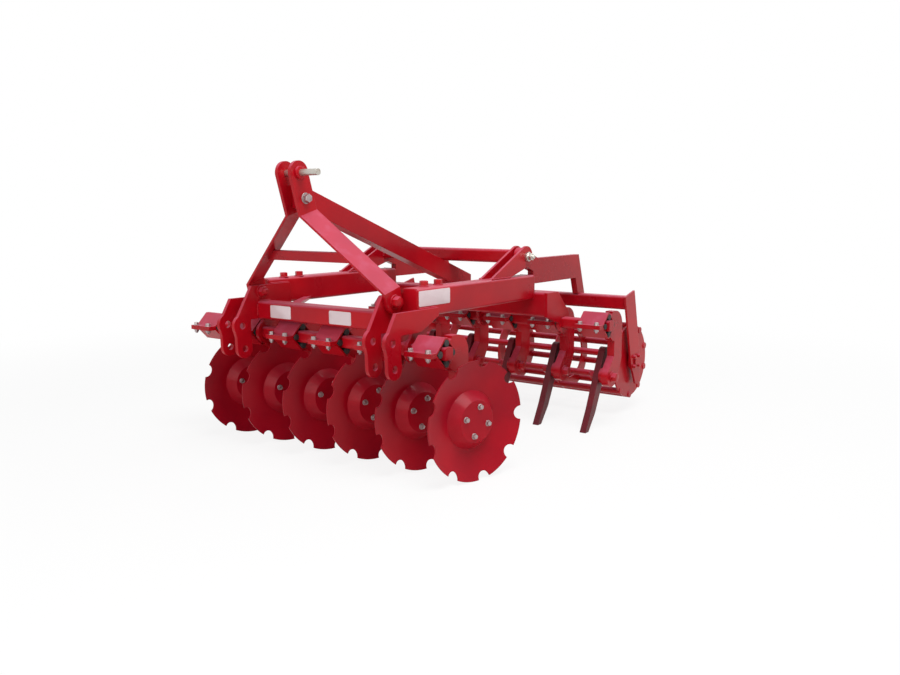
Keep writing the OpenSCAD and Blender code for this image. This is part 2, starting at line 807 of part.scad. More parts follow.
module roller_bracket_right() { color(paint) placed() roller_bracket(); }
module roller_bracket_left() { color(paint) placed() mirror([1, 0, 0]) roller_bracket(); }

// The tube between the brackets takes in the inner collars of the pins
module roller_cross_tube() {
  half = side_x - bracket_out;
  color(paint) placed() tube_x(-half, half, pivot_y, pivot_z, cross_tube, cross_tube, beam_wall);
}

module roller_pins() {
  collar_l = collar_l_share * pivot_d;
  color(steel) placed() both_sides() translate([side_x, pivot_y, pivot_z]) {
    slab_x(-bracket_out - collar_l, 2 * (bracket_out + collar_l)) circle(d = pivot_d);
    for (x = [-bracket_out - collar_l, bracket_out])
      slab_x(x, collar_l) circle(d = collar_d_share * pivot_d);
  }
}

module roller_stops() {
  stop_l = stop_room - cap_t - seat_clear;
  stop_h = beam_top_z - arm_under_z - corner_r;
  color(rubber) placed() both_sides()
    slab_y(side_back + cap_t, stop_l)
      translate([side_x, arm_under_z + stop_h / 2]) square([roller_arm_t, stop_h], center = true);
}

module roller_arm() {
  foot = [roller_beam_back, leg_foot_z];
  corner = [roller_beam_back - roller_leg_lean, roller_arm_z];
  leg_side = [roller_leg_w / 2, 0];
  under = corner + (foot - corner) * (roller_arm_d / (roller_arm_z - leg_foot_z));
  difference() {
    slab_x(side_x - roller_arm_t / 2, roller_arm_t) {
      translate([pivot_y, pivot_z]) circle(arm_eye_r);
      polygon([
        [pivot_y, pivot_z + arm_eye_r], [arm_front_y + arm_eye_r, roller_arm_z],
        [arm_front_y, beam_top_z + neck_clear], [pivot_y, pivot_z - arm_eye_r]
      ]);
      polygon([
        [arm_front_y, arm_under_z], under - leg_side, foot - leg_side, foot + leg_side,
        corner + leg_side, [arm_front_y, roller_arm_z]
      ]);
    }
    slab_x(side_x - roller_arm_t / 2 - overrun, roller_arm_t + 2 * overrun)
      translate([pivot_y, pivot_z]) circle(d = pivot_d + 2 * run_clear);
  }
}

module roller_arm_right() { color(paint) placed() roller_arm(); }
module roller_arm_left() { color(paint) placed() mirror([1, 0, 0]) roller_arm(); }

module roller_beam_tube() {
  half = roller_w / 2 - end_plate_t;
  color(paint) placed()
    tube_x(-half, half, roller_beam_back, roller_beam_z, roller_beam, roller_beam, beam_wall);
}

module roller_end_plates() {
  axle = [roller_back, roller_z];
  low = axle + [plate_lean, -1] * end_plate_drop;
  high = [roller_beam_back, roller_beam_z] + [-plate_lean, 1] * end_plate_top;
  foot_w = end_plate_foot_share * end_plate_w;
  color(paint) placed() both_sides()
    difference() {
      union() {
        slab_x(roller_w / 2 - end_plate_t, end_plate_t) {
          translate(low) circle(d = foot_w);
          bar(low, axle, foot_w, end_plate_w);
          bar(axle, high, end_plate_w, end_plate_w);
        }
        slab_x(roller_w / 2 - end_plate_t - housing_l, housing_l) translate(axle) circle(d = housing_d);
      }
      slab_x(roller_w / 2 - end_plate_t - housing_l - overrun, end_plate_t + housing_l + 2 * overrun)
        translate(axle) circle(d = shaft_d + 2 * run_clear);
    }
}

module ring(x, inner_r) {
  slab_x(x, ring_t)
    difference() {
      circle(cage_ring_r);
      circle(inner_r);
    }
}

module roller_cage() {
  ring_step = (2 * cage_half - ring_t) / (cage_rings - 1);
  bar_half = cage_half + bar_overhang;
  shaft_l = roller_w / 2 + shaft_overhang - cage_half + ring_t;
  color(paint) placed() translate([0, roller_back, roller_z]) {
    for (k = [0 : cage_bars - 1])
      rotate([(k + 0.5) * 360 / cage_bars, 0, 0])
        slab_x(-bar_half, 2 * bar_half) translate([cage_bar_r, 0]) circle(d = cage_bar_d);
    for (k = [1 : cage_rings - 2])
      ring(k * ring_step - cage_half, cage_bar_r - ring_w);
    both_sides() {
      slab_x(cage_half - ring_t, ring_t) circle(cage_ring_r);
      slab_x(cage_half - ring_t, shaft_l) circle(d = shaft_d);
    }
  }
}

// Discs

module blade(i) {
  color(paint) placed() on_axle(i)
    difference() {
      rotate_extrude($fn = 96) polygon(concat(dish_front, dish_back));
      for (k = [0 : notch_count - 1])
        rotate(notch_phase + k * 360 / notch_count) translate([rim_r, 0, -rim_r])
          cylinder(r = notch_r, h = 2 * rim_r);
    }
}

module hub(i) {
  color(paint) placed() on_axle(i)
    difference() {
      union() {
        translate([0, 0, hub_front_u - hub_flange_t]) cylinder(d = hub_flange_d, h = hub_flange_t);
        translate([0, 0, hub_back_u]) cylinder(d = hub_d, h = hub_front_u - hub_back_u);
      }
      translate([0, 0, hub_back_u - overrun])
        cylinder(d = axle_d + 2 * run_clear, h = axle_front_u + hub_clear / 2 - hub_back_u + overrun);
    }
}

module blade_1() { blade(0); }
module blade_2() { blade(1); }
module blade_3() { blade(2); }
module blade_4() { blade(3); }
module blade_5() { blade(4); }
module blade_6() { blade(5); }
module hub_1() { hub(0); }
module hub_2() { hub(1); }
module hub_3() { hub(2); }
module hub_4() { hub(3); }
module hub_5() { hub(4); }
module hub_6() { hub(5); }

front_beam();
rear_beam();
side_beam_left();
side_beam_right();
frame_diagonals();
hitch_plates_left();
hitch_plates_right();
mast_bar_left();
mast_bar_right();
mast_tie();
mast_brace();
top_link_pin();
disc_tube();
disc_tube_hangers();
tine_tube();
tine_tube_hangers();
tube_caps();
front_clamp_tops();
front_clamp_bottoms();
front_rubber_cords();
front_arms();
rear_clamp_tops();
rear_clamp_bottoms();
rear_rubber_cords();
rear_arms();
tines();
roller_bracket_left();
roller_bracket_right();
roller_cross_tube();
roller_pins();
roller_stops();
roller_arm_left();
roller_arm_right();
roller_beam_tube();
roller_end_plates();
roller_cage();
blade_1();
blade_2();
blade_3();
blade_4();
blade_5();
blade_6();
hub_1();
hub_2();
hub_3();
hub_4();
hub_5();
hub_6();
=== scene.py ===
"""Looks of a mounted compact disc harrow: paint, rubber, steel, fasteners, welds and a plain studio."""

from __future__ import annotations

import json
import logging
import math
from dataclasses import dataclass, field
from enum import Enum
from typing import Any, Callable, Iterable, Sequence

import bpy
from mathutils import Matrix, Vector

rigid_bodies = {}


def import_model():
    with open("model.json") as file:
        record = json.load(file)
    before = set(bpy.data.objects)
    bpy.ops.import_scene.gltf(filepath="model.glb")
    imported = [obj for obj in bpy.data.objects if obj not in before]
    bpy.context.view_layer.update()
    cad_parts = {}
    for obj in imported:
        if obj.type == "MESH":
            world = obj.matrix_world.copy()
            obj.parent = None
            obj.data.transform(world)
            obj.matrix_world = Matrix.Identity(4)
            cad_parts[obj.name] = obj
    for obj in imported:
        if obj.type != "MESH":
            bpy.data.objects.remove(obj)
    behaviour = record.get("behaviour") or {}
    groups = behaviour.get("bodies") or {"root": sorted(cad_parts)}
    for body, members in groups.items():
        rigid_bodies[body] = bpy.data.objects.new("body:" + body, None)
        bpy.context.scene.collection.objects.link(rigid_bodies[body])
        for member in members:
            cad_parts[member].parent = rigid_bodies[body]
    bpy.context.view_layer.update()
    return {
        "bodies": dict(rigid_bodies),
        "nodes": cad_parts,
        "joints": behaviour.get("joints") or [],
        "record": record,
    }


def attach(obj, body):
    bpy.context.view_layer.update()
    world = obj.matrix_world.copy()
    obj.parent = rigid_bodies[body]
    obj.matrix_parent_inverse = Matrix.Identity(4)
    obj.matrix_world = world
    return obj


LOG = logging.getLogger("disc_harrow")
MM = 0.001
# The middle of the machine's box, in millimetres from the hitch's middle.
MIDDLE = Vector((-12.5, 637.0, 0.0))
RIGHT = Vector((1.0, 0.0, 0.0))
UP = Vector((0.0, 0.0, 1.0))
# Turns for a sheet that lies flat: its upper face looks to the right or to the front.
TO_RIGHT = Matrix(((0.0, 0.0, 1.0), (1.0, 0.0, 0.0), (0.0, 1.0, 0.0))).to_4x4()
TO_FRONT = Matrix(((1.0, 0.0, 0.0), (0.0, 0.0, -1.0), (0.0, 1.0, 0.0))).to_4x4()
SIDES = (-1.0, 1.0)
WHITE = (1.0, 1.0, 1.0, 1.0)
EVEN = (1.0, 1.0, 1.0)
SMOOTH_ANGLE = math.radians(32.0)
LOOKS_UP = 0.9
TINY = 1e-6

Point = Sequence[float]
Span = tuple[Point, Point]
Colour = tuple[float, float, float, float]
Window = tuple[float, float]
Patch = tuple[float, float, float, float]
Seat = tuple[Vector, Vector, float]


def place(x: float, y: float, z: float) -> Vector:
    """Turn a point that is measured from the hitch's middle, in millimetres, into the model's metres.

    Args:
        x: Distance to the right of the hitch's middle.
        y: Distance behind the disc hubs.
        z: Height above the ground.

    Returns:
        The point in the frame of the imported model.
    """
    return (Vector((x, y, z)) - MIDDLE) * MM


def facing(point: Vector, direction: Vector, spin: float = 0.0) -> Matrix:
    """Place a piece that is modelled along +Z.

    Args:
        point: Where the piece's base goes.
        direction: Where its +Z goes.
        spin: Its turn about that direction, in degrees.

    Returns:
        The matrix that takes the piece there.
    """
    turn = direction.normalized().to_track_quat("Z", "Y").to_matrix().to_4x4()
    return Matrix.Translation(point) @ turn @ Matrix.Rotation(math.radians(spin), 4, "Z")


class Body(Enum):
    """The bodies that the new pieces ride on, apart from the discs."""

    FRAME = "frame"
    ROLLER_FRAME = "roller_frame"


class Slot(Enum):
    """Names of the record's material slots."""

    PAINT = "paint"
    STEEL = "steel"


class Finish(Enum):
    """The finishes, where those of the record's slots have the slots' own names."""

    PAINT = "paint"
    DISC_PAINT = "disc_paint"
    TINE_PAINT = "tine_paint"
    RUBBER = "rubber"
    STEEL = "steel"
    PLATED = "plated"
    LABEL = "label"


class Tap:
    """A shader output that takes part in Python expressions."""

    def __init__(self, shader: "Shader", socket: bpy.types.NodeSocket) -> None:
        """Keep the socket and the shader that it belongs to.

        Args:
            shader: The shader.
            socket: The node's output.
        """
        self.shader = shader
        self.socket = socket

    def _math(self, operation: str, left: Any, right: Any) -> "Tap":
        """Add one Math node.

        Args:
            operation: The Math node's operation.
            left: Its first value or output.
            right: Its second value or output.

        Returns:
            The node's result.
        """
        return self.shader.add("ShaderNodeMath", {"operation": operation}, {0: left, 1: right})

    def __add__(self, other: Any) -> "Tap":
        """Add a value."""
        return self._math("ADD", self, other)

    def __radd__(self, other: Any) -> "Tap":
        """Add to a value."""
        return self._math("ADD", other, self)

    def __sub__(self, other: Any) -> "Tap":
        """Take a value away."""
        return self._math("SUBTRACT", self, other)

    def __rsub__(self, other: Any) -> "Tap":
        """Take this away from a value."""
        return self._math("SUBTRACT", other, self)

    def __mul__(self, other: Any) -> "Tap":
        """Multiply by a value."""
        return self._math("MULTIPLY", self, other)

    def __rmul__(self, other: Any) -> "Tap":
        """Multiply a value by this."""
        return self._math("MULTIPLY", other, self)

    def at_most(self, other: Any) -> "Tap":
        """Keep the smaller of the two."""
        return self._math("MINIMUM", self, other)

    def spread(self, low: float, high: float) -> "Tap":
        """Stretch a window of values to the whole of 0 to 1, softly and clamped.

        Args:
            low: The value that becomes 0.
            high: The value that becomes 1.

        Returns:
            The stretched value.
        """
        settings = {"interpolation_type": "SMOOTHSTEP"}
        return self.shader.add("ShaderNodeMapRange", settings, {0: self, 1: low, 2: high, 3: 0.0, 4: 1.0})


@dataclass(frozen=True)
class Grain:
    """A noise in a piece's own coordinates.

    Attributes:
        scale: Grains to the metre.
        detail: The finer layers.
        window: The values that become 0 and 1, unless the noise is taken as it is.
        stretch: Scale along each axis.
    """

    scale: float
    detail: float
    window: Window | None = None
    stretch: tuple[float, float, float] = EVEN


class Shader:
    """A material or world whose nodes are written as expressions."""

    def __init__(self, owner: Any) -> None:
        """Empty the node tree of a material or a world.

        Args:
            owner: The material or world.
        """
        owner.use_nodes = True
        self.tree = owner.node_tree
        self.tree.nodes.clear()

    def add(self, kind: str, settings: dict[str, Any], inputs: dict[Any, Any], output: Any = 0) -> Tap:
        """Add a node.

        Args:
            kind: The node's type.
            settings: Its properties, set first.
            inputs: Values or outputs for its sockets, by name or number.
            output: The output that is wanted, by name or number.

        Returns:
            That output.
        """
        node = self.tree.nodes.new(kind)
        for key, value in settings.items():
            setattr(node, key, value)
        for key, value in inputs.items():
            if isinstance(value, Tap):
                self.tree.links.new(value.socket, node.inputs[key])
            else:
                node.inputs[key].default_value = value
        return Tap(self, node.outputs[output])

    def noise(self, grain: Grain) -> Tap:
        """Read a noise in the piece's own coordinates.

        Args:
            grain: The noise.

        Returns:
            Its value, stretched where it has a window, and otherwise about 0.5 in the middle.
        """
        spot = self.add("ShaderNodeTexCoord", {}, {}, "Object")
        if grain.stretch != EVEN:
            spot = self.add("ShaderNodeMapping", {}, {"Vector": spot, "Scale": grain.stretch})
        inputs = {"Vector": spot, "Scale": grain.scale, "Detail": grain.detail}
        value = self.add("ShaderNodeTexNoise", {}, inputs)
        return value if grain.window is None else value.spread(*grain.window)

    def mix(self, share: Any, first: Any, second: Any) -> Tap:
        """Mix two colours.

        Args:
            share: How much of the second colour.
            first: The first colour.
            second: The second colour.

        Returns:
            The mixed colour.
        """
        return self.add("ShaderNodeMix", {"data_type": "RGBA"}, {0: share, 6: first, 7: second}, 2)

    def bump(self, height: Tap, depth: float, strength: float, normal: Tap | None = None) -> Tap:
        """Turn a height into a normal.

        Args:
            height: The height, 0 to 1.
            depth: What 1 stands for, in metres.
            strength: How far the bump shows.
            normal: The normal that it is laid on.

        Returns:
            The bumped normal.
        """
        inputs: dict[Any, Any] = {"Height": height, "Distance": depth, "Strength": strength}
        if normal is not None:
            inputs["Normal"] = normal
        return self.add("ShaderNodeBump", {}, inputs)

    def upward(self) -> Tap:
        """Read how far a face looks up.

        Returns:
            From -1 to 1.
        """
        normal = self.add("ShaderNodeNewGeometry", {}, {}, "Normal")
        return self.add("ShaderNodeSeparateXYZ", {}, {0: normal}, "Z")

    def distance(self) -> Tap:
        """Read the distance from the piece's own origin.

        Returns:
            The distance in metres.
        """
        spot = self.add("ShaderNodeTexCoord", {}, {}, "Object")
        return self.add("ShaderNodeVectorMath", {"operation": "LENGTH"}, {0: spot}, "Value")

    def rounded(self, radius: float, samples: int = 6) -> Tap:
        """Read the normal of edges rounded over a radius.

        Args:
            radius: The radius in metres.
            samples: The rays that look for the edge.

        Returns:
            The rounded normal.
        """
        return self.add("ShaderNodeBevel", {"samples": samples}, {"Radius": radius})

    def edge(self, normal: Tap) -> Tap:
        """Read how far a rounded normal departs from the face's own, so where an edge is.

        Args:
            normal: The rounded normal.

        Returns:
            0 on a flat face, more towards an edge.
        """
        plain = self.add("ShaderNodeNewGeometry", {}, {}, "Normal")
        settings = {"operation": "DOT_PRODUCT"}
        return 1.0 - self.add("ShaderNodeVectorMath", settings, {0: normal, 1: plain}, "Value")

    def surface(self, inputs: dict[Any, Any]) -> None:
        """End the material in a Principled shader.

        Args:
            inputs: Its values and outputs.
        """
        self.end("ShaderNodeOutputMaterial", self.add("ShaderNodeBsdfPrincipled", {}, inputs))

    def end(self, kind: str, shader: Tap) -> None:
        """Link a shader to an output node.

        Args:
            kind: The output's type.
            shader: What it shows.
        """
        node = self.tree.nodes.new(kind)
        self.tree.links.new(shader.socket, node.inputs[0])


def new_material(name: str) -> tuple[bpy.types.Material, Shader]:
    """Start a material.

    Args:
        name: Its name.

    Returns:
        The material and its empty shader.
    """
    material = bpy.data.materials.new(name)
    return material, Shader(material)


@dataclass(frozen=True)
class GlossPaint:
    """Sprayed gloss paint over steel, with orange peel, rubbed edges, dust specks, and a pink tint on faces
    that look up, which is partly dust and partly painted sky reflection.
    """

    name: str
    tone: Colour
    deep: Colour
    # Pink tint of faces that look up: painted sky reflection, partly real dust.
    dust_and_sheen: Colour = (0.6, 0.18, 0.3, 1.0)
    rubbed: Colour = (0.1, 0.008, 0.009, 1.0)
    gloss: float = 0.27
    mirror: float = 0.18
    coat: float = 0.08
    coat_gloss: float = 0.07
    # Strength, spread, cap and dulling of the pink tint on faces that look up: painted sky reflection,
    # partly dust.
    dust_and_sheen_share: float = 0.46
    dust_and_sheen_even: float = 0.62
    dust_and_sheen_slope: Window = (0.15, 0.8)
    dust_and_sheen_most: float = 0.6
    dust_and_sheen_matt: float = 0.5
    dust_and_sheen_dulls: float = 0.7
    speck_share: float = 0.05
    worn_share: float = 0.55
    worn_most: float = 0.8
    worn_matt: float = 0.3
    worn_dulls: float = 0.4
    cloud_matt: float = 0.05
    edge_radius: float = 0.0028
    edge_window: Window = (0.06, 0.3)
    peel_depth: float = 0.00035
    peel_strength: float = 0.2
    clouds: Grain = Grain(3.1, 4.0, (0.32, 0.7))
    grimes: Grain = Grain(17.0, 6.0, (0.48, 0.74))
    specks: Grain = Grain(140.0, 3.0, (0.56, 0.72))
    scuffs: Grain = Grain(46.0, 5.0, (0.5, 0.66))
    peel: Grain = Grain(420.0, 2.0)

    def material(self) -> bpy.types.Material:
        """Build the paint.

        Returns:
            The material.
        """
        material, shader = new_material(self.name)
        cloud = shader.noise(self.clouds)
        grime = shader.noise(self.grimes)
        soft = shader.rounded(self.edge_radius)
        edge = shader.edge(soft).spread(*self.edge_window)
        # Faces that look up take the pink tint: a painted sky reflection, partly a dust film; the specks
        # are dust.
        lying = shader.upward().spread(*self.dust_and_sheen_slope)
        film = lying * (self.dust_and_sheen_even + grime * (1.0 - self.dust_and_sheen_even)) * self.dust_and_sheen_share
        dusty = (film + grime * shader.noise(self.specks) * self.speck_share).at_most(self.dust_and_sheen_most)
        worn = (edge * shader.noise(self.scuffs) * self.worn_share).at_most(self.worn_most)
        colour = shader.mix(cloud, self.deep, self.tone)
        colour = shader.mix(worn, colour, self.rubbed)
        # Lay the painted sky reflection and the dust over the paint.
        colour = shader.mix(dusty, colour, self.dust_and_sheen)
        shader.surface({
            "Base Color": colour,
            "Roughness": (
                self.gloss + cloud * self.cloud_matt + dusty * self.dust_and_sheen_matt + worn * self.worn_matt),
            "Coat Weight": (
                self.coat - dusty * (self.dust_and_sheen_dulls * self.coat) - worn * (self.worn_dulls * self.coat)),
            "Coat Roughness": self.coat_gloss,
            "Specular IOR Level": self.mirror,
            "Normal": shader.bump(shader.noise(self.peel), self.peel_depth, self.peel_strength, soft),
        })
        return material


@dataclass(frozen=True)
class CordRubber:
    """Black rubber of the clamps' cords, slightly grey with dust."""

    name: str
    tone: Colour = (0.018, 0.018, 0.019, 1.0)
    dusty: Colour = (0.075, 0.066, 0.06, 1.0)
    cloud_share: float = 0.7
    line_share: float = 0.2
    gloss: float = 0.62
    cloud_matt: float = 0.25
    pore_height: float = 0.6
    line_height: float = 0.4
    relief_depth: float = 0.0006
    relief_strength: float = 0.35
    clouds: Grain = Grain(28.0, 5.0, (0.38, 0.72))
    pores: Grain = Grain(620.0, 3.0)
    lines: Grain = Grain(60.0, 2.0, (0.4, 0.7), (0.05, 6.0, 6.0))

    def material(self) -> bpy.types.Material:
        """Build the rubber.

        Returns:
            The material.
        """
        material, shader = new_material(self.name)
        cloud = shader.noise(self.clouds)
        lines = shader.noise(self.lines)
        relief = shader.noise(self.pores) * self.pore_height + lines * self.line_height
        share = cloud * self.cloud_share + lines * self.line_share
        shader.surface({
            "Base Color": shader.mix(share, self.tone, self.dusty),
            "Roughness": self.gloss + cloud * self.cloud_matt,
            "Normal": shader.bump(relief, self.relief_depth, self.relief_strength),
        })
        return material


@dataclass(frozen=True)
class TurnedSteel:
    """Bare turned steel of the pins, with fine turning marks and light tarnish."""

    name: str
    tone: Colour = (0.56, 0.53, 0.48, 1.0)
    tarnish: Colour = (0.3, 0.22, 0.15, 1.0)
    spot_share: float = 0.5
    film_share: float = 0.18
    metal: float = 0.92
    spot_dulls: float = 0.55
    gloss: float = 0.3
    film_matt: float = 0.12
    spot_matt: float = 0.3
    edge_radius: float = 0.0015
    mark_depth: float = 0.0003
    mark_strength: float = 0.3
    marks: Grain = Grain(90.0, 2.0, None, (14.0, 0.4, 0.4))
    spots: Grain = Grain(55.0, 6.0, (0.54, 0.74))
    films: Grain = Grain(9.0, 3.0, (0.35, 0.8))

    def material(self) -> bpy.types.Material:
        """Build the steel.

        Returns:
            The material.
        """
        material, shader = new_material(self.name)
        spots = shader.noise(self.spots)
        film = shader.noise(self.films)
        soft = shader.rounded(self.edge_radius)
        share = spots * self.spot_share + film * self.film_share
        shader.surface({
            "Base Color": shader.mix(share, self.tone, self.tarnish),
            "Metallic": self.metal - spots * self.spot_dulls,
            "Roughness": self.gloss + film * self.film_matt + spots * self.spot_matt,
            "Normal": shader.bump(shader.noise(self.marks), self.mark_depth, self.mark_strength, soft),
        })
        return material


@dataclass(frozen=True)
class LabelFilm:
    """Pale adhesive film, blank, a little grey with handling."""

    name: str
    tone: Colour = (0.74, 0.6, 0.62, 1.0)
    grey: Colour = (0.58, 0.42, 0.44, 1.0)
    grey_share: float = 0.5
    gloss: float = 0.3
    grey_matt: float = 0.2
    coat: float = 0.25
    fine_depth: float = 0.0002
    fine_strength: float = 0.1
    clouds: Grain = Grain(14.0, 5.0, (0.45, 0.8))
    fine: Grain = Grain(260.0, 2.0)

    def material(self) -> bpy.types.Material:
        """Build the film.

        Returns:
            The material.
        """
        material, shader = new_material(self.name)
        cloud = shader.noise(self.clouds)
        shader.surface({
            "Base Color": shader.mix(cloud * self.grey_share, self.tone, self.grey),
            "Roughness": self.gloss + cloud * self.grey_matt,
            "Coat Weight": self.coat,
            "Normal": shader.bump(shader.noise(self.fine), self.fine_depth, self.fine_strength),
        })
        return material


class Bench:
    """The steps of a modeller's bench, taken with Blender's own operators."""

    @staticmethod
    def clear() -> None:
        """Leave edit mode and deselect everything."""
        if bpy.context.object is not None and bpy.context.object.mode != "OBJECT":
            bpy.ops.object.mode_set(mode="OBJECT")
        bpy.ops.object.select_all(action="DESELECT")

    @staticmethod
    def take(piece: bpy.types.Object) -> None:
        """Select one piece alone and make it active.

        Args:
            piece: The piece.
        """
        Bench.clear()
        piece.select_set(True)
        bpy.context.view_layer.objects.active = piece

    @staticmethod
    def drum(sides: int, radius: float, height: float, base: float = 0.0) -> bpy.types.Object:
        """Add a cylinder that stands on a height.

        Args:
            sides: Its number of sides.
            radius: Its radius.
            height: Its height.
            base: Where it starts along Z.

        Returns:
            The cylinder, with its place in its mesh.
        """
        Bench.clear()
        bpy.ops.mesh.primitive_cylinder_add(
            vertices=sides, radius=radius, depth=height, location=(0.0, 0.0, base + height / 2))
        bpy.ops.object.transform_apply(location=True, rotation=True, scale=True)
        return bpy.context.object

    @staticmethod
    def block(size: Point) -> bpy.types.Object:
        """Add a box on its middle.

        Args:
            size: Its three sides.

        Returns:
            The box, with its size in its mesh.
        """
        Bench.clear()
        bpy.ops.mesh.primitive_cube_add(size=1.0)
        bpy.context.object.scale = size
        bpy.ops.object.transform_apply(location=True, rotation=True, scale=True)
        return bpy.context.object

    @staticmethod
    def pick(piece: bpy.types.Object, kind: str, parts: str, test: Callable[[Any], bool]) -> None:
        """Go into edit mode with some parts of a mesh selected.

        Args:
            piece: The piece.
            kind: The select mode.
            parts: The mesh's own name for what that mode selects.
            test: Says of a part whether it is wanted.
        """
        Bench.take(piece)
        bpy.ops.object.mode_set(mode="EDIT")
        bpy.ops.mesh.select_mode(type=kind)
        bpy.ops.mesh.select_all(action="DESELECT")
        bpy.ops.object.mode_set(mode="OBJECT")
        for part in getattr(piece.data, parts):
            part.select = test(part)
        bpy.ops.object.mode_set(mode="EDIT")

    @staticmethod
    def pick_uprights(piece: bpy.types.Object, rise: float) -> None:
        """Go into edit mode with the edges selected that rise by more than half a height.

        Args:
            piece: The piece.
            rise: The height.
        """
        def stands(edge: bpy.types.MeshEdge) -> bool:
            first, second = (piece.data.vertices[end].co.z for end in edge.vertices)
            return abs(first - second) > rise / 2

        Bench.pick(piece, "EDGE", "edges", stands)

    @staticmethod
    def round_top(piece: bpy.types.Object, width: float, steps: int = 2) -> None:
        """Bevel the edge of a piece's top face.

        Args:
            piece: The piece.
            width: The bevel's width.
            steps: Its number of steps.
        """
        top = max(point.co.z for point in piece.data.vertices) - TINY
        Bench.pick(
            piece, "FACE", "polygons", lambda face: face.normal.z > LOOKS_UP and face.center.z > top)
        bpy.ops.mesh.bevel(offset=width, segments=steps, affect="EDGES")
        Bench.clear()

    @staticmethod
    def ripple(
            rod: bpy.types.Object, base: float, length: float, waves: int, waist: float, odd: bool) -> None:
        """Cut a standing rod into rings and draw in every second one.

        Args:
            rod: The rod.
            base: Where it starts along Z.
            length: Its length.
            waves: How many rings are drawn in along the length.
            waist: What is left of their radius.
            odd: Draw in the odd rings, rather than the even ones and both ends.
        """
        Bench.pick_uprights(rod, length)
        bpy.ops.mesh.subdivide(number_cuts=2 * waves - 1)
        step = length / (2.0 * waves)
        Bench.pick(
            rod, "VERT", "vertices", lambda point: bool(round((point.co.z - base) / step) % 2) == odd)
        bpy.ops.transform.resize(value=(waist, waist, 1.0), center_override=(0.0, 0.0, 0.0))
        Bench.clear()

    @staticmethod
    def weld(pieces: Sequence[bpy.types.Object], name: str) -> bpy.types.Object:
        """Join pieces into one.

        Args:
            pieces: The pieces.
            name: The name of the whole.

        Returns:
            The joined piece.
        """
        Bench.clear()
        for piece in pieces:
            piece.select_set(True)
        bpy.context.view_layer.objects.active = pieces[0]
        if len(pieces) > 1:
            bpy.ops.object.join()
        whole = bpy.context.object
        whole.name = name
        return whole

    @staticmethod
    def scatter(model: bpy.types.Object, spots: Iterable[Matrix], name: str) -> bpy.types.Object:
        """Copy a model to one or more places, each copy with its own mesh, and join the copies.

        Args:
            model: The model, which is used up.
            spots: The places.
            name: The name of the whole.

        Returns:
            The joined copies.
        """
        copies: list[bpy.types.Object] = []
        for spot in spots:
            twin = model.copy()
            twin.data = model.data.copy()
            twin.data.transform(spot)
            bpy.context.scene.collection.objects.link(twin)
            copies.append(twin)
        bpy.data.objects.remove(model)
        return Bench.weld(copies, name)


@dataclass
class Workshop:
    """Holds the finishes and hands finished pieces over to the frame."""

    finishes: dict[Finish, bpy.types.Material]
    count: int = 0

    def finish(self, piece: bpy.types.Object, finish: Finish, slot: Slot, body: str) -> None:
        """Dress a piece and let it ride on its body.

        Args:
            piece: The piece.
            finish: Its finish.
            slot: The record's slot that it takes; not used.
            body: The body that it moves with.
        """
        Bench.take(piece)
        bpy.ops.object.shade_smooth_by_angle(angle=SMOOTH_ANGLE)
        piece.data.materials.clear()
        piece.data.materials.append(self.finishes[finish])
        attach(piece, body)
        self.count += 1
        LOG.info("piece %s: %d faces on %s", piece.name, len(piece.data.polygons), body)


@dataclass(frozen=True)
class HexBolt:
    """A hexagon bolt by its width across the flats, in metres; its other sizes are shares of that."""

    across: float
    washer_r: float = 0.72
    washer_t: float = 0.11
    washer_soft: float = 0.0385
    washer_sides: int = 20
    hex_sides: int = 6
    head_h: float = 0.62
    head_soft: float = 0.09
    nut_h: float = 0.54
    nut_soft: float = 0.07
    thread_r: float = 0.33
    thread_h: float = 0.3
    thread_soft: float = 0.06
    thread_sides: int = 12
    thread_turns: int = 3
    thread_root: float = 0.86
    head_spin: float = 17.0
    nut_spin: float = 29.0

    def on_washer(self, height: float, soft: float) -> list[bpy.types.Object]:
        """Model a hexagon on its washer, standing on Z = 0.

        Args:
            height: The hexagon's height.
            soft: The bevel round its top.

        Returns:
            The washer and the hexagon.
        """
        size = self.across
        washer = Bench.drum(self.washer_sides, self.washer_r * size, self.washer_t * size)
        Bench.round_top(washer, self.washer_soft * size, 1)
        corner_r = size / math.sqrt(3.0)
        hexagon = Bench.drum(self.hex_sides, corner_r, height * size, self.washer_t * size)
        Bench.round_top(hexagon, soft * size)
        return [washer, hexagon]

    def head(self) -> bpy.types.Object:
        """Model the head on its washer, standing on Z = 0.

        Returns:
            The head.
        """
        return Bench.weld(self.on_washer(self.head_h, self.head_soft), "bolt_head")

    def tail(self) -> bpy.types.Object:
        """Model the washer, nut and thread's end, standing on Z = 0.

        Returns:
            The nut's end.
        """
        pieces = self.on_washer(self.nut_h, self.nut_soft)
        base = (self.washer_t + self.nut_h) * self.across
        length = self.thread_h * self.across
        thread = Bench.drum(self.thread_sides, self.thread_r * self.across, length, base)
        Bench.ripple(thread, base, length, self.thread_turns, self.thread_root, odd=True)
        Bench.round_top(thread, self.thread_soft * self.across, 1)
        return Bench.weld([*pieces, thread], "bolt_tail")

    def pairs(self, spots: Sequence[Seat], name: str) -> bpy.types.Object:
        """Put whole bolts in place.

        Args:
            spots: For each bolt its head's seat, the way the head looks and the thickness that it holds.
            name: The name of the group.

        Returns:
            All heads and nuts as one piece.
        """
        heads: list[Matrix] = []
        tails: list[Matrix] = []
        for index, (seat, way, grip) in enumerate(spots):
            away = way.normalized()
            heads.append(facing(seat, away, self.head_spin * index))
            tails.append(facing(seat - away * grip, -away, self.nut_spin * index))
        first = Bench.scatter(self.head(), heads, name)
        second = Bench.scatter(self.tail(), tails, name + "_nuts")
        return Bench.weld([first, second], name)


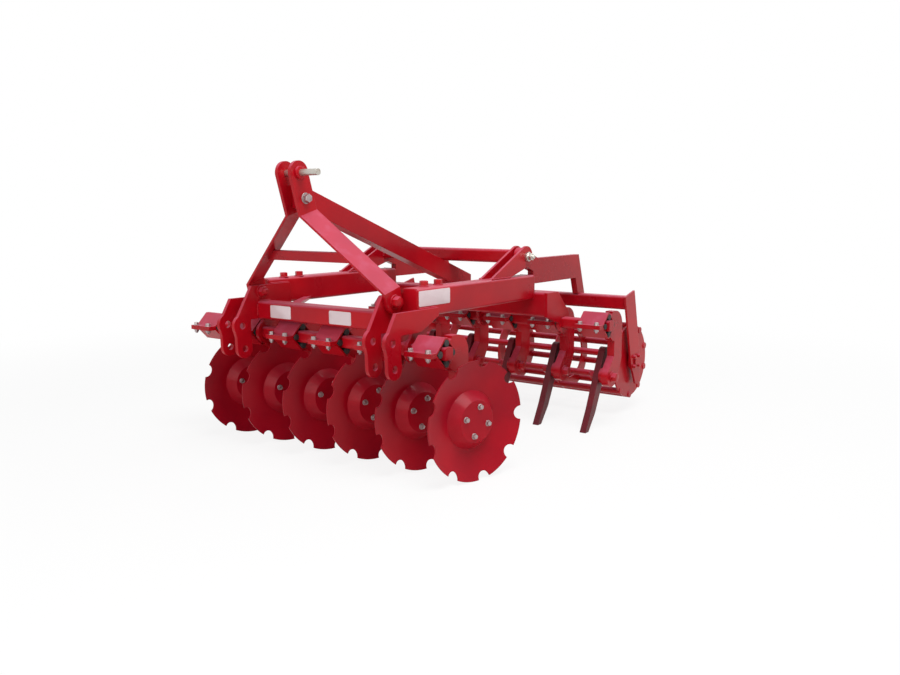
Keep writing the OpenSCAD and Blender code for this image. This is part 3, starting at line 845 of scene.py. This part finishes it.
@dataclass(frozen=True)
class RowSizes:
    """Sizes that the two rows share, in millimetres, as the solids have them."""

    count: int = 6
    pitch: float = 250.0
    offset: float = 62.5
    clamp_shift: float = 150.0
    tube_z: float = 487.0
    disc_tube_y: float = -70.0
    tine_tube_y: float = 960.0

    def disc_x(self, index: int) -> float:
        """Give the place of a disc along the row.

        Args:
            index: The disc's number, from 0 at the left.

        Returns:
            Its distance to the right of the hitch's middle.
        """
        return self.offset + (index - (self.count - 1) / 2.0) * self.pitch


@dataclass
class ClampBolts:
    """The four flange bolts of every rubber-cord clamp."""

    rows: RowSizes = field(default_factory=RowSizes)
    flange_y: float = 81.0
    bolt_x: float = 41.0
    flange_t: float = 9.0
    across: float = 0.018

    def seats(self, shift: float, tube_y: float) -> list[Seat]:
        """List the bolts of one row.

        Args:
            shift: How far a clamp lies to the left of its disc.
            tube_y: Where the row's tube lies.

        Returns:
            Seats of the heads on the upper flanges.
        """
        spots: list[Seat] = []
        for index in range(self.rows.count):
            for side in SIDES:
                for end in SIDES:
                    x = self.rows.disc_x(index) - shift + end * self.bolt_x
                    seat = place(x, tube_y + side * self.flange_y, self.rows.tube_z + self.flange_t)
                    spots.append((seat, UP, 2.0 * self.flange_t * MM))
        return spots

    def build(self, shop: Workshop) -> None:
        """Model the bolts of both rows and dress them.

        Args:
            shop: The workshop.
        """
        bolt = HexBolt(self.across)
        front = bolt.pairs(self.seats(self.rows.clamp_shift, self.rows.disc_tube_y), "front_clamp_bolts")
        shop.finish(front, Finish.PLATED, Slot.STEEL, Body.FRAME.value)
        rear = bolt.pairs(self.seats(0.0, self.rows.tine_tube_y), "rear_clamp_bolts")
        shop.finish(rear, Finish.PLATED, Slot.STEEL, Body.FRAME.value)


@dataclass
class DiscFittings:
    """The plated bolts and nuts on each disc's flat centre, in metres."""

    circle_r: float = 0.056
    first_angle: float = 75.0
    per_disc: int = 4
    across: float = 0.0165
    pot_u: float = 0.0029
    disc_t: float = 0.005
    flange_t: float = 0.012

    def build(self, shop: Workshop, joints: Sequence[dict[str, Any]]) -> None:
        """Model the fittings of every disc on its own axis.

        Args:
            shop: The workshop.
            joints: The record's joints.
        """
        for joint in joints:
            if not joint["child"].startswith("disc_"):
                continue
            axis = Vector(joint["axis"]).normalized()
            hub = Vector(joint["pos_m"])
            rear = UP.cross(axis).normalized()
            spots: list[Seat] = []
            for index in range(self.per_disc):
                angle = math.radians(self.first_angle + 360.0 * index / self.per_disc)
                off = (rear * math.cos(angle) + UP * math.sin(angle)) * self.circle_r
                spots.append((hub + off + axis * self.pot_u, axis, self.disc_t + self.flange_t))
            bolts = HexBolt(self.across).pairs(spots, joint["child"] + "_bolts")
            shop.finish(bolts, Finish.PLATED, Slot.STEEL, joint["child"])


@dataclass
class MastBolts:
    """The bolts of the mast's feet and of the brace, and the painted rings on the pin's collars."""

    foot: Point = (387.5, -107.0, 668.0)
    foot_grip: float = 31.0
    foot_across: float = 0.038
    brace: Point = (43.0, -219.0, 1054.0)
    brace_across: float = 0.03
    pin: Point = (43.0, -247.0, 1150.0)
    ring_r: float = 0.0245
    ring_t: float = 0.0104
    ring_soft: float = 0.00312
    ring_sides: int = 36

    def build(self, shop: Workshop) -> None:
        """Model the bolts and the rings and dress them.

        Args:
            shop: The workshop.
        """
        x, y, z = self.foot
        grip = self.foot_grip * MM
        feet = [(place(x, y, z), RIGHT, grip), (place(-x, y, z), -RIGHT, grip)]
        foot_bolts = HexBolt(self.foot_across).pairs(feet, "mast_foot_bolts")
        shop.finish(foot_bolts, Finish.PAINT, Slot.PAINT, Body.FRAME.value)
        through = [(place(*self.brace), RIGHT, 2.0 * self.brace[0] * MM)]
        brace_bolt = HexBolt(self.brace_across).pairs(through, "mast_brace_bolt")
        shop.finish(brace_bolt, Finish.PLATED, Slot.STEEL, Body.FRAME.value)
        ring = Bench.drum(self.ring_sides, self.ring_r, self.ring_t)
        Bench.round_top(ring, self.ring_soft)
        x, y, z = self.pin
        ends = [facing(place(side * x, y, z), side * RIGHT) for side in SIDES]
        rings = Bench.scatter(ring, ends, "top_pin_rings")
        shop.finish(rings, Finish.PAINT, Slot.PAINT, Body.FRAME.value)


@dataclass
class BeamBolts:
    """Two bolt heads on the top of each side beam, behind the mast's foot."""

    head_x: float = 396.0
    head_ys: tuple[float, float] = (58.0, 150.0)
    top_z: float = 715.0
    across: float = 0.03
    spin: float = 9.0

    def build(self, shop: Workshop) -> None:
        """Model the heads and dress them.

        Args:
            shop: The workshop.
        """
        spots = [
            facing(place(side * self.head_x, y, self.top_z), UP, self.spin * index)
            for index, y in enumerate(self.head_ys) for side in SIDES
        ]
        heads = Bench.scatter(HexBolt(self.across).head(), spots, "side_beam_bolts")
        shop.finish(heads, Finish.PAINT, Slot.PAINT, Body.FRAME.value)


@dataclass
class TineBolts:
    """The bolt that holds each tine to its arm."""

    rows: RowSizes = field(default_factory=RowSizes)
    bolt_y: float = 1005.0
    bolt_z: float = 245.0
    tine_face: float = -20.0
    arm_face: float = 63.0
    across: float = 0.036

    def build(self, shop: Workshop) -> None:
        """Model the bolts and dress them.

        Args:
            shop: The workshop.
        """
        grip = (self.arm_face - self.tine_face) * MM
        faces = [self.rows.disc_x(index) + self.arm_face for index in range(self.rows.count)]
        spots = [(place(x, self.bolt_y, self.bolt_z), RIGHT, grip) for x in faces]
        bolts = HexBolt(self.across).pairs(spots, "tine_bolts")
        shop.finish(bolts, Finish.PAINT, Slot.PAINT, Body.FRAME.value)


@dataclass
class RollerFittings:
    """Bearing bolts on the roller's end plates and the nuts of the arms' pivots."""

    plate_x: float = 700.0
    axle_y: float = 1376.0
    axle_z: float = 260.0
    circle_r: float = 34.0
    first_angle: float = 45.0
    per_bearing: int = 4
    across: float = 0.017
    spin: float = 11.0
    pivot: Point = (454.5, 745.0, 800.0)
    pivot_across: float = 0.03
    pivot_spin: float = 20.0

    def build(self, shop: Workshop) -> None:
        """Model the bolts and nuts and dress them.

        Args:
            shop: The workshop.
        """
        bearings: list[Matrix] = []
        pivots: list[Matrix] = []
        for side in SIDES:
            outward = Vector((side, 0.0, 0.0))
            for index in range(self.per_bearing):
                angle = math.radians(self.first_angle + 360.0 * index / self.per_bearing)
                y = self.axle_y + self.circle_r * math.cos(angle)
                z = self.axle_z + self.circle_r * math.sin(angle)
                bearings.append(facing(place(side * self.plate_x, y, z), outward, self.spin))
            x, y, z = self.pivot
            pivots.append(facing(place(side * x, y, z), outward, self.pivot_spin))
        heads = Bench.scatter(HexBolt(self.across).head(), bearings, "roller_bearing_bolts")
        shop.finish(heads, Finish.PAINT, Slot.PAINT, Body.ROLLER_FRAME.value)
        nuts = Bench.scatter(HexBolt(self.pivot_across).tail(), pivots, "roller_pivot_nuts")
        shop.finish(nuts, Finish.STEEL, Slot.STEEL, Body.FRAME.value)


@dataclass(frozen=True)
class Level:
    """A level seam along the machine, in millimetres: its two ends and its height."""

    start: float
    stop: float
    z: float

    def at(self, x: float) -> Span:
        """Place the seam.

        Args:
            x: Its distance to the right of the hitch's middle.

        Returns:
            Its two ends.
        """
        return (x, self.start, self.z), (x, self.stop, self.z)


@dataclass(frozen=True)
class Upright:
    """An upright seam, in millimetres: its place along the machine and its two heights."""

    y: float
    low: float
    high: float

    def at(self, x: float) -> Span:
        """Place the seam.

        Args:
            x: Its distance to the right of the hitch's middle.

        Returns:
            Its two ends.
        """
        return (x, self.y, self.low), (x, self.y, self.high)


@dataclass(frozen=True)
class TubeEnd:
    """The seams on the flat sides of a cross tube's end, in millimetres.

    Attributes:
        x: Where the tube ends.
        middle: The tube's middle, along the machine and up.
        reach: How far the seams lie from the middle, along the machine and up.
        flat: Half of the flat sides' widths, along the machine and up.
        walls: The upright sides that have a seam, -1 for the front and 1 for the back.
    """

    x: float
    middle: tuple[float, float]
    reach: tuple[float, float]
    flat: tuple[float, float]
    walls: tuple[float, ...] = SIDES[:1]

    def seams(self, side: float) -> list[Span]:
        """List the seams of one end.

        Args:
            side: -1 for the left end and 1 for the right one.

        Returns:
            The ends of each seam.
        """
        (y, z), (reach_y, reach_z), (flat_y, flat_z) = self.middle, self.reach, self.flat
        lines: list[Level | Upright] = [Level(y - flat_y, y + flat_y, z + reach_z)]
        lines += [Upright(y + wall * reach_y, z - flat_z, z + flat_z) for wall in self.walls]
        lines.append(Level(y - flat_y, y + flat_y, z - reach_z))
        return [line.at(side * self.x) for line in lines]


@dataclass
class WeldBeads:
    """Rippled weld beads along the seams that show; seams are in millimetres, beads in metres."""

    radius: float = 0.0042
    ripple: float = 0.0062
    waist: float = 0.74
    sides: int = 8
    least_drops: int = 4
    side_x: float = 412.5
    front_beam: TubeEnd = TubeEnd(355.0, (-91.0, 590.0), (41.0, 38.0), (28.0, 24.0))
    cross_tube: TubeEnd = TubeEnd(379.0, (745.0, 800.0), (31.0, 31.0), (21.0, 21.0))
    roller_beam: TubeEnd = TubeEnd(688.5, (1300.0, 558.0), (34.0, 34.0), (20.0, 20.0), SIDES)
    outer_plate_x: float = 454.5
    outer_plate: tuple[Level, Upright] = (Level(-46.0, 58.0, 638.5), Upright(61.0, 612.0, 635.0))
    inner_plate_x: float = 370.5
    inner_plate: tuple[Upright, Level] = (Upright(61.0, 612.0, 694.0), Level(-46.0, 58.0, 696.5))
    bracket_half: float = 33.5
    bracket: Level = Level(464.0, 606.0, 716.5)
    rear_hanger_x: float = 29.5
    rear_hanger: Level = Level(842.0, 888.0, 636.5)
    disc_hanger_xs: tuple[float, ...] = (-390.0, 390.0, 435.0)
    disc_hanger: Level = Level(-44.0, 26.0, 603.5)
    arm_half: float = 16.5
    arm: Level = Level(1280.0, 1320.0, 591.5)

    def bead(self, length: float) -> bpy.types.Object:
        """Model one bead along Z, with a ripple for every drop.

        Args:
            length: The bead's length.

        Returns:
            The bead.
        """
        rope = Bench.drum(self.sides, self.radius, length)
        drops = max(self.least_drops, int(length / self.ripple))
        Bench.ripple(rope, 0.0, length, drops, self.waist, odd=False)
        return rope

    def frame_seams(self) -> list[Span]:
        """List the seams on the frame.

        Returns:
            The ends of each seam.
        """
        seams: list[Span] = []
        for side in SIDES:
            seams += self.front_beam.seams(side)
            seams += [line.at(side * self.outer_plate_x) for line in self.outer_plate]
            seams += [line.at(side * self.inner_plate_x) for line in self.inner_plate]
            seams += [self.bracket.at(side * self.side_x + face * self.bracket_half) for face in SIDES]
            seams += self.cross_tube.seams(side)
            seams.append(self.rear_hanger.at(side * self.rear_hanger_x))
        return seams + [self.disc_hanger.at(x) for x in self.disc_hanger_xs]

    def roller_seams(self) -> list[Span]:
        """List the seams on the roller's frame.

        Returns:
            The ends of each seam.
        """
        seams: list[Span] = []
        for side in SIDES:
            seams += self.roller_beam.seams(side)
            seams += [self.arm.at(side * self.side_x + face * self.arm_half) for face in SIDES]
        return seams

    def lay(self, seams: Sequence[Span], name: str) -> bpy.types.Object:
        """Lay a bead along each seam.

        Args:
            seams: The ends of each seam.
            name: The name of the whole.

        Returns:
            All beads as one piece.
        """
        beads: list[bpy.types.Object] = []
        for start, stop in seams:
            first, last = place(*start), place(*stop)
            rope = self.bead((last - first).length)
            beads.append(Bench.scatter(rope, [facing(first, last - first)], "bead"))
        return Bench.weld(beads, name)

    def build(self, shop: Workshop) -> None:
        """Lay and dress the beads.

        Args:
            shop: The workshop.
        """
        frame = self.lay(self.frame_seams(), "frame_welds")
        shop.finish(frame, Finish.PAINT, Slot.PAINT, Body.FRAME.value)
        roller = self.lay(self.roller_seams(), "roller_welds")
        shop.finish(roller, Finish.PAINT, Slot.PAINT, Body.ROLLER_FRAME.value)


@dataclass
class BlankLabels:
    """Blank pale film on the right side beam and two short pieces on the front beam, in millimetres.

    A patch is given by its two ends along the beam and its two heights.
    """

    film_t: float = 1.2
    film_soft: float = 0.48
    corner: float = 6.0
    corner_steps: int = 4
    side_face: float = 452.5
    side_patch: Patch = (-44.0, 152.0, 646.0, 706.0)
    front_face: float = -131.0
    front_patches: tuple[Patch, Patch] = ((-276.0, -154.0, 563.0, 616.0), (66.0, 184.0, 563.0, 616.0))

    def sheet(self, patch: Patch, middle: Vector, turn: Matrix, name: str) -> bpy.types.Object:
        """Model a film with round corners and a soft upper edge, and lay it on its beam.

        Args:
            patch: The patch that it covers.
            middle: Its middle.
            turn: What turns it to its beam's face.
            name: Its name.

        Returns:
            The film.
        """
        low, high, bottom, top = patch
        film = Bench.block(((high - low) * MM, (top - bottom) * MM, self.film_t * MM))
        Bench.pick_uprights(film, self.film_t * MM)
        bpy.ops.mesh.bevel(offset=self.corner * MM, segments=self.corner_steps, affect="EDGES")
        Bench.clear()
        Bench.round_top(film, self.film_soft * MM)
        return Bench.scatter(film, [Matrix.Translation(middle) @ turn], name)

    def build(self, shop: Workshop) -> None:
        """Model and dress the films.

        Args:
            shop: The workshop.
        """
        low, high, bottom, top = self.side_patch
        middle = place(self.side_face + self.film_t / 2, (low + high) / 2, (bottom + top) / 2)
        side = self.sheet(self.side_patch, middle, TO_RIGHT, "side_beam_film")
        shop.finish(side, Finish.LABEL, Slot.PAINT, Body.FRAME.value)
        films: list[bpy.types.Object] = []
        for patch in self.front_patches:
            low, high, bottom, top = patch
            middle = place((low + high) / 2, self.front_face - self.film_t / 2, (bottom + top) / 2)
            films.append(self.sheet(patch, middle, TO_FRONT, "film"))
        shop.finish(Bench.weld(films, "front_beam_films"), Finish.LABEL, Slot.PAINT, Body.FRAME.value)


@dataclass(frozen=True)
class Lamp:
    """A soft square lamp that looks at the machine's middle, in metres and watts."""

    name: str
    spot: tuple[float, float, float]
    size: float
    power: float
    aim: tuple[float, float, float] = (0.0, 0.0, 0.5)

    def hang(self) -> None:
        """Add the lamp to the scene."""
        light = bpy.data.lights.new(self.name, "AREA")
        light.size = self.size
        light.energy = self.power
        holder = bpy.data.objects.new(self.name, light)
        holder.location = self.spot
        look = Vector(self.aim) - Vector(self.spot)
        holder.rotation_euler = look.to_track_quat("-Z", "Y").to_euler()
        bpy.context.scene.collection.objects.link(holder)


@dataclass
class Studio:
    """The pale floor, the soft light and the camera."""

    lens: float = 33.864
    sensor: float = 36.0
    yaw: float = 36.53
    pitch: float = 8.56
    roll: float = 0.17
    eye: Point = (2436.0, -2523.0, 1008.0)
    floor_size: float = 40.0
    floor_z: float = -0.0005
    floor_tone: Colour = (0.9, 0.9, 0.9, 1.0)
    floor_deep: Colour = (0.86, 0.86, 0.86, 1.0)
    floor_deep_share: float = 0.3
    floor_clouds: Grain = Grain(1.3, 2.0)
    floor_share: float = 0.86
    fade: Window = (1.4, 4.5)
    sky_share: float = 0.3
    lamps: tuple[Lamp, ...] = (
        Lamp("key", (2.4, -1.2, 5.2), 3.0, 215.0),
        Lamp("front", (0.6, -4.8, 2.4), 3.2, 68.0),
        Lamp("back", (0.5, 4.4, 3.8), 3.0, 60.0),
    )

    def floor(self) -> None:
        """Lay a pale floor that keeps the shadow near the machine and fades to the white background."""
        Bench.clear()
        bpy.ops.mesh.primitive_plane_add(size=self.floor_size, location=(0.0, 0.0, self.floor_z))
        bpy.ops.object.transform_apply(location=True, rotation=True, scale=True)
        plane = bpy.context.object
        plane.name = "studio_floor"
        material, shader = new_material("pale_floor")
        cloud = shader.noise(self.floor_clouds) * self.floor_deep_share
        pale = shader.mix(cloud, self.floor_tone, self.floor_deep)
        matt = shader.add("ShaderNodeBsdfDiffuse", {}, {"Color": pale})
        bright = shader.add("ShaderNodeEmission", {}, {"Color": WHITE, "Strength": 1.0})
        far = shader.distance().spread(*self.fade)
        shown = self.shown_rays(shader) * (self.floor_share + far * (1.0 - self.floor_share))
        both = shader.add("ShaderNodeMixShader", {}, {0: shown, 1: matt, 2: bright})
        shader.end("ShaderNodeOutputMaterial", both)
        plane.data.materials.append(material)

    @staticmethod
    def shown_rays(shader: Shader) -> Tap:
        """Read which rays show the background: camera, glossy and transmission rays.

        Args:
            shader: The shader that reads it.

        Returns:
            1 for those rays, and otherwise 0.
        """
        camera = shader.add("ShaderNodeLightPath", {}, {}, "Is Camera Ray")
        glossy = shader.add("ShaderNodeLightPath", {}, {}, "Is Glossy Ray")
        through = shader.add("ShaderNodeLightPath", {}, {}, "Is Transmission Ray")
        return (camera + glossy + through).at_most(1.0)

    def sky(self) -> None:
        """Set a white background that lights the object at a plain level."""
        world = bpy.data.worlds.new("studio_sky")
        bpy.context.scene.world = world
        shader = Shader(world)
        strength = self.sky_share + self.shown_rays(shader) * (1.0 - self.sky_share)
        back = shader.add("ShaderNodeBackground", {}, {"Color": WHITE, "Strength": strength})
        shader.end("ShaderNodeOutputWorld", back)

    def camera(self) -> None:
        """Set the camera where the photograph was taken from."""
        lens = bpy.data.cameras.new("photograph")
        lens.sensor_width = self.sensor
        lens.lens = self.lens
        holder = bpy.data.objects.new("photograph", lens)
        holder.location = place(*self.eye)
        holder.rotation_euler = (
            math.radians(90.0 - self.pitch), math.radians(self.roll), math.radians(self.yaw))
        bpy.context.scene.collection.objects.link(holder)
        bpy.context.scene.camera = holder

    def build(self) -> None:
        """Set up the whole studio."""
        self.camera()
        self.floor()
        self.sky()
        for lamp in self.lamps:
            lamp.hang()
        bpy.context.scene.view_settings.view_transform = "Standard"


def make_finishes() -> dict[Finish, bpy.types.Material]:
    """Make every finish once.

    Returns:
        The materials by finish.
    """
    paint = GlossPaint("red_gloss_paint", (0.5, 0.003, 0.01, 1.0), (0.36, 0.002, 0.009, 1.0))
    disc_paint = GlossPaint(
        "disc_gloss_paint", (0.42, 0.003, 0.013, 1.0), (0.3, 0.002, 0.012, 1.0),
        gloss=0.3, mirror=0.12, coat=0.05, dust_and_sheen_share=0.06)
    # The tines take a darker red-brown than the frame, evenly over the whole tine.
    tine_paint = GlossPaint(
        "tine_dark_paint", (0.17, 0.008, 0.014, 1.0), (0.09, 0.007, 0.01, 1.0),
        gloss=0.36, mirror=0.25, coat=0.0, dust_and_sheen_share=0.1)
    plated = TurnedSteel("plated_steel", (0.42, 0.35, 0.35, 1.0), (0.3, 0.12, 0.12, 1.0))
    return {
        Finish.PAINT: paint.material(),
        Finish.DISC_PAINT: disc_paint.material(),
        Finish.TINE_PAINT: tine_paint.material(),
        Finish.RUBBER: CordRubber("cord_rubber").material(),
        Finish.STEEL: TurnedSteel("turned_steel").material(),
        Finish.PLATED: plated.material(),
        Finish.LABEL: LabelFilm("blank_label_film").material(),
    }


def dress_solids(frame: dict[str, Any], finishes: dict[Finish, bpy.types.Material]) -> None:
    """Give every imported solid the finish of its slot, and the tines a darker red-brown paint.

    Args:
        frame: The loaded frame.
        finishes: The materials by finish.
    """
    slots = {row["node"]: row["material_slot"] for row in frame["record"]["subparts"]}
    for name, solid in frame["nodes"].items():
        finish = Finish.TINE_PAINT if name == "tines" else Finish(slots[name])
        solid.data.materials.clear()
        solid.data.materials.append(finishes[finish])


def main() -> None:
    """Load the frame, build the pieces, dress everything and set up the studio."""
    logging.basicConfig(level=logging.INFO, format="%(name)s: %(message)s")
    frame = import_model()
    Studio().build()
    finishes = make_finishes()
    dress_solids(frame, finishes)
    shop = Workshop(finishes)
    ClampBolts().build(shop)
    DiscFittings().build(shop, frame["record"]["behaviour"]["joints"])
    MastBolts().build(shop)
    BeamBolts().build(shop)
    TineBolts().build(shop)
    RollerFittings().build(shop)
    WeldBeads().build(shop)
    BlankLabels().build(shop)
    Bench.clear()
    LOG.info("%d new pieces", shop.count)


if __name__ == "__main__":
    main()
